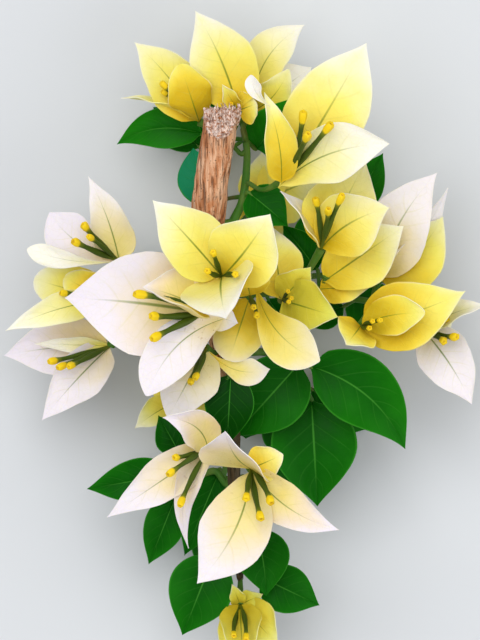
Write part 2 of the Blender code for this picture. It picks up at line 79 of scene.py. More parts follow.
# shader maths: a Wire is one output socket, and sums on wires add Math nodes
class Wire:
    def __init__(self, web, socket):
        self.web = web
        self.socket = socket

    def math(self, operation, first, second=0.0):
        return self.web.node("Math", dict(operation=operation), {0: first, 1: second})

    def __add__(self, other):
        return self.math("ADD", self, other)

    __radd__ = __add__

    def __sub__(self, other):
        return self.math("SUBTRACT", self, other)

    def __rsub__(self, other):
        return self.math("SUBTRACT", other, self)

    def __mul__(self, other):
        return self.math("MULTIPLY", self, other)

    __rmul__ = __mul__

    def __abs__(self):
        return self.math("ABSOLUTE", self)

    def sine(self):
        return self.math("SINE", self)

    def smooth(self, low, high):
        # 0 up to low, 1 from high on, or the other way round when low is the larger
        start, stop = min(low, high), max(low, high)
        ends = (0.0, 1.0) if low < high else (1.0, 0.0)
        return self.web.node("MapRange", dict(interpolation_type="SMOOTHSTEP"),
                             {0: self, 1: start, 2: stop, 3: ends[0], 4: ends[1]})


class Web:
    # the node tree of one material
    def __init__(self, name):
        self.material = bpy.data.materials.new(name)
        self.material.use_nodes = True
        self.tree = self.material.node_tree
        self.shader = self.tree.nodes["Principled BSDF"]

    def node(self, kind, settings, sockets, output=0):
        made = self.tree.nodes.new("ShaderNode" + kind)
        for key, value in settings.items():
            if key == "stops":
                self.setStops(made.color_ramp, value)
            else:
                setattr(made, key, value)
        for key, value in sockets.items():
            self.plug(value, made.inputs[key])
        return Wire(self, made.outputs[output])

    def setStops(self, ramp, stops):
        while len(ramp.elements) < len(stops):
            ramp.elements.new(0.5)
        for element, (position, colour) in zip(ramp.elements, stops):
            element.position = position
            element.color = (*colour, 1.0)

    def plug(self, value, socket):
        if isinstance(value, Wire):
            self.tree.links.new(value.socket, socket)
        elif hasattr(value, "__len__") and len(socket.default_value) == len(value) + 1:
            socket.default_value = (*value, 1.0)   # a colour without its alpha
        else:
            socket.default_value = value

    def mix(self, amount, first, second):
        return self.node("Mix", dict(data_type="RGBA"), {0: amount, 6: first, 7: second}, 2)

    def ramp(self, amount, stops):
        return self.node("ValToRGB", dict(stops=stops), {0: amount})

    def attribute(self, name):
        return self.node("Attribute", dict(attribute_name=name), {}, 2)

    def objectPlace(self, scale=(1, 1, 1)):
        place = self.node("TexCoord", {}, {}, 3)
        return self.node("Mapping", {}, {0: place, 3: scale})

    def noise(self, scale, detail=3.0, stretch=(1, 1, 1)):
        return self.node("TexNoise", {}, {
            "Vector": self.objectPlace(stretch), "Scale": scale, "Detail": detail})

    def cells(self, scale):
        return self.node("TexVoronoi", dict(feature="DISTANCE_TO_EDGE"), {
            "Vector": self.objectPlace(), "Scale": scale})

    def surface(self):
        # place along a blade from 0 to 1, and from its midrib to its edge from 0 to 1
        uv = self.node("UVMap", dict(uv_map="UVMap"), {})
        across = self.node("SeparateXYZ", {}, {0: uv}, 0)
        along = self.node("SeparateXYZ", {}, {0: uv}, 1)
        return along, abs(across - 0.5) * 2

    def lay(self, colour, mask, layer):
        # paints a layer's tint over a colour, as strongly as the mask and the layer's share say
        tint, share = layer
        return self.mix(mask * share, colour, tint)

    def mark(self, colour, plan):
        noise, band, layer = plan
        return self.lay(colour, self.noise(*noise).smooth(*band), layer)

    def finish(self, look, colour, wander, height=None, **values):
        # the roughness wanders with one of the surface's noises
        values.update({"Base Color": colour, "Roughness": look["rough"] + (wander - 0.5) * look["uneven"],
                       "Specular IOR Level": look["shine"]})
        if height is not None:
            values["Normal"] = self.node("Bump", {}, {
                "Strength": look["relief"], "Distance": look["depth"], "Height": height})
        for key, value in values.items():
            self.plug(value, self.shader.inputs[key])
        return self.material


def sideVeins(along, across, look):
    # they run slantwise from the midrib to the edge
    turns = along * look["veins"] - across * look["slant"]
    return (turns * (2 * math.pi)).sine().smooth(*look["veinBand"])


# in a look, a noise is (scale, detail, stretch), a band is where a mask starts and ends, a layer is
# (tint, share), and marks are a noise, the band of its mask and a layer
bractLook = dict(
    stops=((0.0, (0.66, 0.44, 0.008)), (0.2, (0.86, 0.64, 0.045)), (0.42, (0.89, 0.79, 0.15)),
           (0.66, (0.90, 0.85, 0.42)), (0.92, (0.90, 0.87, 0.74))),   # gold at the heart, cream at the tip
    lilac=(0.84, 0.77, 0.83), peach=(0.87, 0.69, 0.40), young=((0.58, 0.62, 0.06), 0.8),
    midrib=((0.13, 0.22, 0.008), 0.85), vein=((0.60, 0.55, 0.10), 0.16), net=((0.60, 0.55, 0.10), 0.05),
    # the paler rim along a bract's edge is a painted highlight
    edge=((0.90, 0.87, 0.74), 0.45), speck=((0.40, 0.20, 0.05), 0.75),
    along=0.6, far=0.22, across=0.14, faded=0.62, start=-0.18, mottled=0.22, clouded=0.36,
    mottle=(120, 3), cloud=(55, 2), specks=(700, 2), grain=(900, 2), cells=360,
    lilacBand=(0.4, 0.88), blushBand=(0.03, 0.6), veins=7.0, slant=1.5, veinBand=(0.9, 1.0),
    midribBand=(0.05, 0.018), heartBand=(0.45, 0.05), speckBand=(0.64, 0.72),
    rough=0.56, uneven=0.2, relief=0.35, depth=0.00025, shine=0.18,
    glow={"Subsurface Weight": 0.12, "Subsurface Radius": (1.0, 0.75, 0.2), "Subsurface Scale": 0.0012})


def bractMaterial():
    look = bractLook
    web = Web("bractPaper")
    along, across = web.surface()
    mottle, cloud, grain = (web.noise(*look[name]) for name in ("mottle", "cloud", "grain"))
    tone = (along * look["along"] + along * along * along * look["far"] + across * across * look["across"]
            + web.attribute("fade") * look["faded"] + look["start"])
    tone = tone + (mottle - 0.5) * look["mottled"] + (cloud - 0.5) * look["clouded"]
    colour = web.ramp(tone, look["stops"])
    tint = web.mix(tone.smooth(*look["lilacBand"]), look["peach"], look["lilac"])
    colour = web.mix(web.attribute("blush") * tone.smooth(*look["blushBand"]), colour, tint)
    colour = web.lay(colour, web.attribute("green"), look["young"])
    vein = sideVeins(along, across, look) * across.smooth(0.9, 0.3) * along.smooth(0.95, 0.6)
    colour = web.lay(colour, vein, look["vein"])
    midrib = (across + along * 0.02).smooth(*look["midribBand"]) * along.smooth(0.93, 0.3)
    colour = web.lay(colour, midrib, look["midrib"])
    heart = (along * 3.2 + across).smooth(*look["heartBand"])
    colour = web.lay(colour, heart, look["midrib"])
    # a paler rim along the edge: painted highlight
    edge = across.smooth(0.93, 1.0) * along.smooth(0.25, 0.8)
    colour = web.lay(colour, edge, look["edge"])
    spots = web.noise(*look["specks"]).smooth(*look["speckBand"]) * web.attribute("specks")
    colour = web.lay(colour, spots * along.smooth(0.55, 0.1), look["speck"])
    net = web.cells(look["cells"]).smooth(0.1, 0.0)
    colour = web.lay(colour, net, look["net"])
    height = grain * 0.4 + cloud * 2.2 + vein * 0.4 + net * 0.35 + midrib * 0.8
    return web.finish(look, colour, mottle, height, **look["glow"])


leafLook = dict(
    stops=((0.0, (0.001, 0.045, 0.0005)), (0.45, (0.003, 0.098, 0.0012)), (1.0, (0.012, 0.19, 0.004))),
    # the teal layer on the lightest leaves is a painted sheen
    paintedSheen=((0.01, 0.21, 0.09), 1.0), vein=((0.05, 0.26, 0.025), 0.15), midrib=((0.05, 0.26, 0.025), 0.8),
    # the lighter green along the edge is a painted highlight
    paintedEdgeHighlight=((0.035, 0.25, 0.015), 0.7), under=((0.03, 0.15, 0.02), 0.65),
    across=0.28, along=0.24, light=0.6, mottled=0.5, mottle=(90, 4), grain=(1400, 2),
    paintedSheenBand=(1.1, 1.5), veins=6.0, slant=1.9, veinBand=(0.93, 1.0), midribBand=(0.036, 0.01),
    paintedEdgeHighlightBand=(0.945, 0.985), rough=0.42, roughUnder=0.6, uneven=0.25, relief=0.4, depth=0.0003, shine=0.05)


def leafMaterial(name, under):
    look = dict(leafLook, rough=leafLook["roughUnder" if under else "rough"])
    web = Web(name)
    along, across = web.surface()
    # the leaf's fade: partly its own tone, partly painted light and shade
    light = web.attribute("fade")
    mottle = web.noise(*look["mottle"])
    # the green is darker along the midrib and lighter towards the edge: painted shade by the midrib and
    # painted light at the edges
    tone = (across * look["across"] + along * look["along"] + light * look["light"]
            + (mottle - 0.5) * look["mottled"])
    # leaves with a fade above 1.1 get a painted teal sheen
    colour = web.lay(web.ramp(tone, look["stops"]), light.smooth(*look["paintedSheenBand"]), look["paintedSheen"])
    if under:
        colour = web.lay(colour, 1.0, look["under"])
    vein = sideVeins(along, across, look) * across.smooth(1.0, 0.5)
    colour = web.lay(colour, vein, look["vein"])
    midrib = across.smooth(*look["midribBand"])
    colour = web.lay(colour, midrib * along.smooth(1.05, 0.3), look["midrib"])
    # painted highlight along the leaf's edge
    colour = web.lay(colour, across.smooth(*look["paintedEdgeHighlightBand"]), look["paintedEdgeHighlight"])
    height = mottle * 0.3 + web.noise(*look["grain"]) * 0.2 - vein * 0.5 - midrib
    return web.finish(look, colour, mottle, height)


flowerLook = dict(
    stops=((0.0, (0.16, 0.19, 0.01)), (0.25, (0.055, 0.095, 0.005)), (0.74, (0.055, 0.095, 0.005)),
           (0.82, (0.16, 0.19, 0.01)), (0.86, (0.88, 0.62, 0.008)), (0.97, (0.88, 0.62, 0.008)),
           (1.0, (0.62, 0.36, 0.004))),   # a green tube, yellow lobes and a darker throat
    mottle=(300, 3), mottled=0.12, grain=(1500, 2), rough=0.55, uneven=0.2, relief=0.3, depth=0.0002,
    shine=0.25)


def flowerMaterial():
    look = flowerLook
    web = Web("flowerTube")
    along, _ = web.surface()
    mottle = web.noise(*look["mottle"])
    colour = web.ramp(along + (mottle - 0.5) * look["mottled"], look["stops"])
    return web.finish(look, colour, mottle, web.noise(*look["grain"]) + mottle)


twigLook = dict(
    green=(0.04, 0.15, 0.009), pale=(0.10, 0.19, 0.025), streak=(260, 4, (1, 0.3, 1)),
    streakBand=(0.35, 0.7), scars=((60, 3), (0.55, 0.75), ((0.16, 0.085, 0.03), 0.7)),
    rough=0.55, uneven=0.3, relief=0.5, depth=0.0003, shine=0.25)


def twigMaterial():
    look = twigLook
    web = Web("greenTwig")
    streak = web.noise(*look["streak"])
    colour = web.mix(streak.smooth(*look["streakBand"]), look["green"], look["pale"])
    return web.finish(look, web.mark(colour, look["scars"]), streak, streak)


barkLook = dict(
    stops=((0.3, (0.21, 0.06, 0.02)), (0.46, (0.50, 0.19, 0.075)), (0.62, (0.76, 0.46, 0.29))),
    strand=(420, 5, (1, 0.14, 1)), patch=(90, 3, (1, 0.5, 1)), fibre=(1700, 3, (1, 0.08, 1)),
    # the dark paint in the cracks, where the relief sinks, is partly the bark's dark streaks and partly
    # painted shade in its crevices
    crack=((900, 3, (1, 0.07, 1)), (0.57, 0.67), ((0.04, 0.012, 0.005), 0.7)),
    pits=((750, 2), (0.64, 0.72), ((0.76, 0.46, 0.29), 0.4)),
    holes=((1300, 2), (0.64, 0.70), ((0.04, 0.012, 0.005), 0.75)),
    # the stem's lower part is painted near-black: painted shade, for the shadow of the leaves it lies in
    thin=((0.012, 0.02, 0.006), 0.9), wood=(0.50, 0.19, 0.075),
    chips=((1000, 3), (0.36, 0.56), ((0.90, 0.72, 0.63), 1.0)),
    rot=((620, 4), (0.52, 0.64), ((0.19, 0.06, 0.035), 0.62)),
    frays=((1500, 2), (0.6, 0.7), ((0.90, 0.72, 0.63), 0.8)),
    rough=0.82, uneven=0.2, relief=0.9, depth=0.0009, shine=0.2)


def barkMaterial():
    look = barkLook
    web = Web("woodyBark")
    strand, patch, fibre = (web.noise(*look[name]) for name in ("strand", "patch", "fibre"))
    colour = web.ramp(strand * 0.6 + patch * 0.3 + fibre * 0.45 - 0.17, look["stops"])
    # the cracks' dark paint is partly painted shade in the crevices
    for name in ("crack", "pits", "holes"):
        colour = web.mark(colour, look[name])
    # painted shade: the stem's lower, thinner part is darkened almost to black for the shadow it lies in
    colour = web.lay(colour, web.attribute("thin"), look["thin"])
    wood = look["wood"]
    for name in ("chips", "rot", "frays"):
        wood = web.mark(wood, look[name])
    colour = web.mix(web.attribute("torn"), colour, wood)
    crack, pits = web.noise(*look["crack"][0]), web.noise(*look["pits"][0])
    height = strand * 0.6 - crack.smooth(0.5, 0.66) * 0.8 + fibre * 0.3 + pits * 0.3
    return web.finish(look, colour, strand, height)


floorLook = dict(colour=(0.66, 0.68, 0.70), size=6.0, grain=(40, 2), rough=0.7, uneven=0.05, shine=0.5)


def floorMaterial():
    web = Web("paleFloor")
    return web.finish(floorLook, floorLook["colour"], web.noise(*floorLook["grain"]))


paper = bractMaterial()
leafTop = leafMaterial("leafUpper", False)
leafUnder = leafMaterial("leafUnder", True)
flowerSkin = flowerMaterial()
twigSkin = twigMaterial()
barkSkin = barkMaterial()
print("materials made")


# a flat sheet from which every bract and leaf is bent: x is its edge-to-edge place from -1 to 1, y its
# place along from 0 to 1, with closer rows near both ends
def makeSheet(name, columns, rows):
    bpy.ops.mesh.primitive_grid_add(x_subdivisions=columns, y_subdivisions=rows, size=2, calc_uvs=True)
    sheet = bpy.context.object
    sheet.name = name
    places = readPlaces(sheet.data)
    places[:, 1] = 0.5 + 0.5 * np.sin(places[:, 1] * math.pi / 2)
    writePlaces(sheet.data, places)
    writeMap(sheet.data, places[:, 0] * 0.5 + 0.5, places[:, 1])
    return sheet


def readPlaces(mesh):
    flat = np.empty(len(mesh.vertices) * 3)
    mesh.vertices.foreach_get("co", flat)
    return flat.reshape(-1, 3)


def writePlaces(mesh, places):
    mesh.vertices.foreach_set("co", np.asarray(places, dtype=np.float32).ravel())
    mesh.update()


def writeMap(mesh, across, along):
    corner = np.empty(len(mesh.loops), dtype=np.int32)
    mesh.loops.foreach_get("vertex_index", corner)
    flat = np.stack([across[corner], along[corner]], axis=1).ravel()
    mesh.uv_layers["UVMap"].data.foreach_set("uv", flat)


def copyOf(master, name):
    twin = master.copy()
    twin.data = master.data.copy()
    twin.name = name
    bpy.context.scene.collection.objects.link(twin)
    return twin


def setAttribute(mesh, name, value):
    # one value for the whole mesh, or one for each vertex
    layer = mesh.attributes.new(name, "FLOAT", "POINT")
    layer.data.foreach_set("value", np.full(len(mesh.vertices), value, dtype=np.float32))


def unit(rows):
    return rows / np.linalg.norm(rows, axis=1, keepdims=True)


# fold waves are (across, along, seed, weight), ragged waves (along, seed, across), in radians a unit
bladeForm = dict(baseFullness=0.75, neck=0.08, tipHalf=0.12, fromBase=0.004, toTip=0.996,
                 raggedWaves=((31, 5, 1), (13, 3, 0)), broadFrom=4, grooveWidth=0.07, grooveFade=0.6,
                 foldWaves=((2.6, 5.2, 4, 1.0), (6.1, -9.3, 9, 0.6)), cupEnd=8, edgeRise=2.5,
                 floorGap=0.6, smoothAngle=60)


def outline(u, belly, point):
    power = math.log(0.5) / math.log(belly)
    fullness = bladeForm["baseFullness"] + (point - bladeForm["baseFullness"]) * u
    return np.sin(math.pi * u ** power) ** fullness * np.minimum(1.0, u / bladeForm["neck"])


def bladeFrame(base, tip, roll):
    along = (tip - base).normalized()
    face = Vector((0, 0, 1))
    face = (face - along * along.z).normalized()
    side = along.cross(face)
    turn = Matrix.Rotation(math.radians(roll), 3, along)
    return np.array(along), np.array(turn @ side), np.array(turn @ face)


def bendBlade(sheet, form, base, tip, width, roll=0, arch=0.08, sweep=0.0, cup=20, twist=0, belly=0.4,
              point=1.15, seed=0.0):
    # bends a flat sheet along its own midrib, and cups, twists, waves and quilts it
    flat = readPlaces(sheet.data)
    v = flat[:, 0]
    u = bladeForm["fromBase"] + (bladeForm["toTip"] - bladeForm["fromBase"]) * flat[:, 1]
    along, side, face = bladeFrame(base, tip, roll)
    length = (tip - base).length
    bow = (4 * u * (1 - u) * length)[:, None]
    lean = (4 * (1 - 2 * u))[:, None]
    midrib = np.array(base) + along * (length * u)[:, None] + face * arch * bow + side * sweep * bow
    tangent = unit(along + face * arch * lean + side * sweep * lean)
    normal = unit(face - tangent * (tangent @ face)[:, None])
    angle = np.radians(twist * u * u)[:, None]
    normal = normal * np.cos(angle) + np.cross(tangent, normal) * np.sin(angle)
    across = np.cross(tangent, normal)
    bend = np.radians(cup * (1 - u ** bladeForm["cupEnd"]) + 1)
    ragged = form["ragged"]
    for lengthwise, shift, crosswise in bladeForm["raggedWaves"]:
        ragged = ragged * np.sin(u * lengthwise + seed * shift + v * crosswise)
    ragged = 1 + ragged
    half = np.maximum(width / 2 * outline(u, belly, point) * ragged, bladeForm["tipHalf"]) * mm
    curl = half / bend
    place = midrib + across * (curl * np.sin(bend * v))[:, None]
    place = place + normal * (curl * (1 - np.cos(bend * v)))[:, None]
    out = normal * np.cos(bend * v)[:, None] - across * np.sin(bend * v)[:, None]
    broad = np.minimum(1.0, half / (bladeForm["broadFrom"] * mm))
    edge = np.abs(v)
    turns = form["waves"] * u * 2 * math.pi + seed * 7 + np.sign(v) * seed
    ruffle = form["ruffle"] * edge ** bladeForm["edgeRise"] * np.sin(turns)
    ribs = (form["veins"] * u - form["slant"] * edge) * 2 * math.pi
    quilt = form["quilt"] * np.cos(ribs) * edge ** 0.5 * (1 - edge ** 3)
    groove = -form["groove"] * np.exp(-(v / bladeForm["grooveWidth"]) ** 2)
    groove = groove * (1 - u * bladeForm["grooveFade"])
    fold = sum(weight * np.sin(v * crosswise + u * lengthwise + seed * shift)
               for crosswise, lengthwise, shift, weight in bladeForm["foldWaves"])
    crease = form["crease"] * fold * edge ** 0.7 * np.sin(math.pi * u) ** 0.5
    place = place + out * ((ruffle + quilt + groove + crease) * broad * mm)[:, None]
    place[:, 2] = np.maximum(place[:, 2], form["thick"] * mm * bladeForm["floorGap"])
    writePlaces(sheet.data, place)


def thicken(sheet, form, skins):
    sheet.data.materials.clear()
    for skin in skins:
        sheet.data.materials.append(skin)
    pick([sheet])
    wall = sheet.modifiers.new("wall", "SOLIDIFY")
    wall.thickness = form["thick"] * mm
    wall.offset = 0.0
    wall.material_offset = len(skins) - 1
    bpy.ops.object.modifier_apply(modifier="wall")
    bpy.ops.object.shade_smooth_by_angle(angle=math.radians(bladeForm["smoothAngle"]))


# the side veins' relief keeps to the number and slant of the painted ones; the other sizes are in mm
bractForm = dict(columns=18, rows=36, thick=0.32, ruffle=0.5, waves=2.3, crease=0.28, quilt=0.14,
                 veins=bractLook["veins"], slant=bractLook["slant"], groove=0.35, ragged=0.012)
leafForm = dict(columns=20, rows=36, thick=0.36, ruffle=0.35, waves=1.7, crease=0.12, quilt=0.18,
                veins=leafLook["veins"], slant=leafLook["slant"], groove=0.45, ragged=0.004)
bractSheet = makeSheet("bractSheet", bractForm["columns"], bractForm["rows"])
leafSheet = makeSheet("leafSheet", leafForm["columns"], leafForm["rows"])


# one flower tube, swollen low down, narrow in the middle and flared into five small lobes round its throat
flowerForm = dict(sides=20, first=0.6,
                  rings=((0.05, 0.62), (0.18, 0.6), (0.25, 0.85), (0.36, 1.15), (0.48, 1.18), (0.6, 0.98),
                         (0.72, 0.84), (0.8, 0.95), (0.85, 1.12), (0.88, 1.36), (0.92, 1.45), (0.96, 1.44),
                         (0.985, 1.25), (1.0, 0.95), (0.995, 0.55), (0.975, 0.2)),
                  lobes=5, rib=0.07, lobe=0.12, flareFrom=0.84, flareLength=0.1, throatFrom=0.9,
                  throatRadius=0.5, skinEnd=0.97, around=7, bow=0.05, bowSeed=4.1)


def makeFlower():
    form = flowerForm
    bpy.ops.mesh.primitive_circle_add(vertices=form["sides"], radius=form["first"], fill_type="NGON")
    flower = bpy.context.object
    flower.name = "flowerMaster"
    bpy.ops.object.mode_set(mode="EDIT")
    bpy.ops.mesh.select_all(action="SELECT")
    height, radius = 0.0, form["first"]
    for level, size in form["rings"]:
        bpy.ops.mesh.extrude_region_move(TRANSFORM_OT_translate=dict(value=(0, 0, level - height)))
        bpy.ops.transform.resize(value=(size / radius, size / radius, 1))
        height, radius = level, size
    bpy.ops.mesh.select_all(action="SELECT")
    bpy.ops.mesh.normals_make_consistent(inside=False)
    bpy.ops.object.mode_set(mode="OBJECT")
    places = readPlaces(flower.data)
    angle = np.arctan2(places[:, 1], places[:, 0])
    high = np.clip((places[:, 2] - form["flareFrom"]) / form["flareLength"], 0, 1)
    swell = 1 + np.cos(form["lobes"] * angle) * (form["rib"] * (1 - high) + form["lobe"] * high)
    places[:, :2] *= swell[:, None]
    writePlaces(flower.data, places)
    radii = np.linalg.norm(places[:, :2], axis=1)
    inside = (places[:, 2] > form["throatFrom"]) & (radii < form["throatRadius"])
    level = np.where(inside, 1.0, places[:, 2] * form["skinEnd"])
    writeMap(flower.data, angle / form["around"] + 0.5, level)
    bpy.ops.object.shade_smooth()
    flower.data.materials.append(flowerSkin)
    return flower


flowerMaster = makeFlower()


def placeFlower(name, heart, tip, size, seed):
    flower = copyOf(flowerMaster, name)
    flat = readPlaces(flower.data)
    axis = (tip - heart).normalized()
    side = axis.orthogonal().normalized()
    other = axis.cross(side)
    length = (tip - heart).length
    bow = math.sin(seed * flowerForm["bowSeed"]) * flowerForm["bow"] * length
    lift = 4 * flat[:, 2] * (1 - flat[:, 2]) * bow
    place = (np.array(heart) + np.outer(flat[:, 2] * length, axis) + np.outer(lift, side)
             + np.outer(flat[:, 0] * size * mm, side) + np.outer(flat[:, 1] * size * mm, other))
    writePlaces(flower.data, place)
    return flower


# limbs: a flat grid rolled into a tube along a route, and closed by rings that shrink to a point
def smoothRoute(route, steps):
    knots = [Vector((*place, radius)) for place, radius in route]
    knots = [2 * knots[0] - knots[1]] + knots + [2 * knots[-1] - knots[-2]]
    points = []
    for a, b, c, d in zip(knots, knots[1:], knots[2:], knots[3:]):
        for step in range(steps):
            t = step / steps
            points.append(0.5 * (2 * b + (c - a) * t + (2 * a - 5 * b + 4 * c - d) * t * t
                                 + (3 * b - a - 3 * c + d) * t ** 3))
    points.append(knots[-2])
    return [(Vector(point[:3]), point[3]) for point in points]


def carried(runs):
    # a direction square to each run, carried from ring to ring without a twist
    side = np.array(Vector(runs[0]).orthogonal().normalized())
    sides = []
    for run in runs:
        side = side - run * (side @ run)
        side = side / np.linalg.norm(side)
        sides.append(side)
    return np.array(sides)


limbForm = dict(weld=2e-6, smoothAngle=65)


def limb(name, points, skin, sides=10, caps=1, relief=None):
    places = np.array([tuple(place) for place, _ in points])
    radii = np.array([radius for _, radius in points])
    runs = unit(np.gradient(places, axis=0))
    across = carried(runs)
    steps = np.arange(caps) / caps
    order = np.array([0] * caps + list(range(len(points))) + [len(points) - 1] * caps)
    share = np.concatenate([steps, np.ones(len(points)), steps[::-1]])
    bpy.ops.mesh.primitive_grid_add(x_subdivisions=sides, y_subdivisions=len(order) - 1, size=2,
                                    calc_uvs=True)
    rod = bpy.context.object
    rod.name = name
    flat = readPlaces(rod.data)
    ring = np.rint((flat[:, 1] + 1) / 2 * (len(order) - 1)).astype(int)
    angle = ((flat[:, 0] + 1) * math.pi)[:, None]
    centre = order[ring]
    out = across[centre] * np.cos(angle) + np.cross(runs, across)[centre] * np.sin(angle)
    reach = (radii[centre] * share[ring])[:, None]
    place = places[centre] + out * reach
    if relief:
        place = relief(place, out, share[ring])
    writePlaces(rod.data, place)
    bpy.ops.object.mode_set(mode="EDIT")
    bpy.ops.mesh.select_all(action="SELECT")
    bpy.ops.mesh.remove_doubles(threshold=limbForm["weld"])
    bpy.ops.mesh.normals_make_consistent(inside=False)
    bpy.ops.object.mode_set(mode="OBJECT")
    bpy.ops.object.shade_smooth_by_angle(angle=math.radians(limbForm["smoothAngle"]))
    rod.data.materials.append(skin)
    return rod


def nearest(path, place):
    return min(path, key=lambda point: (point[0] - place).length)


# how a stalk grows out of what carries it: sunk and straight in mm, its collar times its radius
joinForm = dict(sink=0.5, straight=2.0, collar=1.45)


def seat(path, foot, towards):
    axis, radius = nearest(path, foot)
    index = path.index((axis, radius))
    if index == len(path) - 1:
        leave = (axis - path[index - 1][0]).normalized()
        return axis - leave * joinForm["sink"] * mm, leave
    run = (path[index + 1][0] - path[max(index - 1, 0)][0]).normalized()
    leave = towards - axis
    leave = (leave - run * leave.dot(run)).normalized()
    return axis + leave * (radius - joinForm["sink"] * mm), leave


def joinPieces(parts, name):
    pick(parts)
    if len(parts) > 1:
        bpy.ops.object.join()
    parts[0].name = name
    parts[0].data.name = name
    return parts[0]


def settle(piece, node):
    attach(piece, "root")
    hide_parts(node)


print("masters made")


# the woody stem: column, row, height and radius in mm from the torn end to the tip
stemForm = dict(route=((222, 112, 61, 6.0), (218, 140, 61, 6.2), (213, 172, 60, 6.2), (208, 225, 57, 6.0),
                       (211, 290, 53, 4.8), (222, 350, 50, 3.8), (231, 410, 48, 3.0), (233, 450, 47, 2.6),
                       (236, 520, 44, 1.9), (240, 578, 37, 1.3)),
                sides=72, ringsPerStep=14, caps=26, ridge=0.6, lump=0.4,
                breakNear=(218, 138, 67.4), breakFar=(221, 106, 60), jag=2.0,
                splinters=(((208, 124, 60), (204, 108, 60)), ((234, 124, 59), (239, 104, 59)),
                           ((222, 122, 57), (225, 105, 57)), ((214, 122, 61), (215, 107, 62))),
                splinterSize=(1.7, 0.35, 12),
                strands=70, strandRoot=0.42, strandTip=0.06, strandSides=6, strandReach=5.6,
                strandSink=1.5, sideLean=0.16, upLean=0.12, strandLength=(2.2, 5.2), strandSpread=(0.6, 1.3),
                bend=0.06, strandKnots=((0.4, 0.85), (0.75, 0.5)), tornRim=0.9, tornBlend=0.8,
                paintedShadeFrom=-0.012, paintedShadeBlend=0.02, roughFrom=-0.03, roughLength=0.07, smoothShare=0.45)
# how the ridges, the lumps and the tear add up: (scale, offset, weight) of each noise
barkWaves = dict(ridge=((620, 0, 0.6), (1500, 7, 0.4)), tear=((1900, 0, 1.0), (4200, 3, 0.6)),
                 lump=((210, 1.0), (70, 0.8)), stretch=0.11)


def coarseRoute(route):
    return smoothRoute([(spot(*stop[:3]), stop[3] * mm) for stop in route], 2)


def breakLine(z):
    # how far the stem reaches along Y at a height, where it was torn off aslant
    near, far = spot(*stemForm["breakNear"]), spot(*stemForm["breakFar"])
    slope = (far.y - near.y) / (far.z - near.z)
    return near.y + (z - near.z) * slope


def grain(place, waves):
    # ridges that run along the stem
    x, y, z = place
    return sum(
        weight * noise.noise(Vector((x * scale + offset, y * scale * barkWaves["stretch"], z * scale)))
        for scale, offset, weight in waves)


def barkRelief(place, out, share):
    form = stemForm
    shaped = place.copy()
    for index, (point, away, part) in enumerate(zip(place, out, share)):
        if part == 1.0:
            ridge = grain(point, barkWaves["ridge"])
            lump = sum(noise.noise(Vector(point) * scale) * weight for scale, weight in barkWaves["lump"])
            shaped[index] += away * (ridge * form["ridge"] + lump * form["lump"]) * mm * reliefShare(point)
        x, y, z = shaped[index]
        limit = breakLine(z)
        if y > limit or part < 1.0:
            shaped[index][1] = min(y, limit) + grain((x, 0, z), barkWaves["tear"]) * form["jag"] * mm
    return shaped


def reliefShare(point):
    # bark is rough on the thick end and smoother towards the tip
    form = stemForm
    rough = min(1.0, max(0.0, (point[1] - form["roughFrom"]) / form["roughLength"]))
    return form["smoothShare"] + (1 - form["smoothShare"]) * rough


def makeStem():
    form = stemForm
    coarse = coarseRoute(form["route"])
    fine = smoothRoute(coarse, form["ringsPerStep"])
    stem = limb("stemWood", fine, barkSkin, form["sides"], form["caps"], barkRelief)
    places = readPlaces(stem.data)
    limits = np.array([breakLine(z) for z in places[:, 2]])
    over = places[:, 1] - np.minimum(limits, fine[0][0].y)
    torn = np.clip((over + form["tornRim"] * mm) / (form["tornBlend"] * mm), 0, 1)
    setAttribute(stem.data, "torn", torn)
    # the painted shade on the lower stem starts 12 mm past the frame's middle and is full 20 mm further
    # towards the tip
    setAttribute(stem.data, "thin", np.clip((form["paintedShadeFrom"] - places[:, 1]) / form["paintedShadeBlend"], 0, 1))
    parts = [stem]
    for root, tip in form["splinters"]:
        parts.append(makeStrand(spot(*root), spot(*tip), *form["splinterSize"]))
    dice = np.random.default_rng(4)
    for _ in range(form["strands"]):
        around = dice.uniform(0, 2 * math.pi)
        outward = math.sqrt(dice.uniform(0, 1)) * form["strandReach"]
        root = fine[0][0] + Vector((math.cos(around) * outward, 0, math.sin(around) * outward)) * mm
        root.y = min(root.y, breakLine(root.z)) - form["strandSink"] * mm
        lean = Vector((dice.normal() * form["sideLean"], 1, dice.normal() * form["upLean"])).normalized()
        tip = root + lean * dice.uniform(*form["strandLength"]) * mm
        parts.append(makeStrand(root, tip, form["strandRoot"] * dice.uniform(*form["strandSpread"]),
                                form["strandTip"], form["strandSides"]))
    settle(joinPieces(parts, "stem_bark"), "stem")
    return coarse


def makeStrand(root, tip, thick, thin, sides):
    bend = (tip - root).orthogonal() * stemForm["bend"]
    knots = [(root.lerp(tip, far) + bend, thick * share * mm) for far, share in stemForm["strandKnots"]]
    points = [(root, thick * mm), *knots, (tip, thin * mm)]
    strand = limb("strand", smoothRoute(points, 2), barkSkin, sides)
    setAttribute(strand.data, "torn", 1.0)
    return strand


# the leafy shoots; a leaf's fade is how light its green is, partly its own tone and partly painted light and
# shade: a low fade paints a leaf dark for the shade it lies in, and above 1.1 it gets a painted teal sheen
shootForm = dict(sides=12, steps=4, petiole=0.75, petioleFoot=0.95, petioleTip=0.35, petioleSides=8,
                 petioleSunk=3.0, droop=0.08, fade=0.35, seedStep=1.7)


def shoot(*leaves, **more):
    return dict(leaves=leaves, **more)


def leaf(base, tip, width, **more):
    return dict(base=base, tip=tip, width=width, **more)


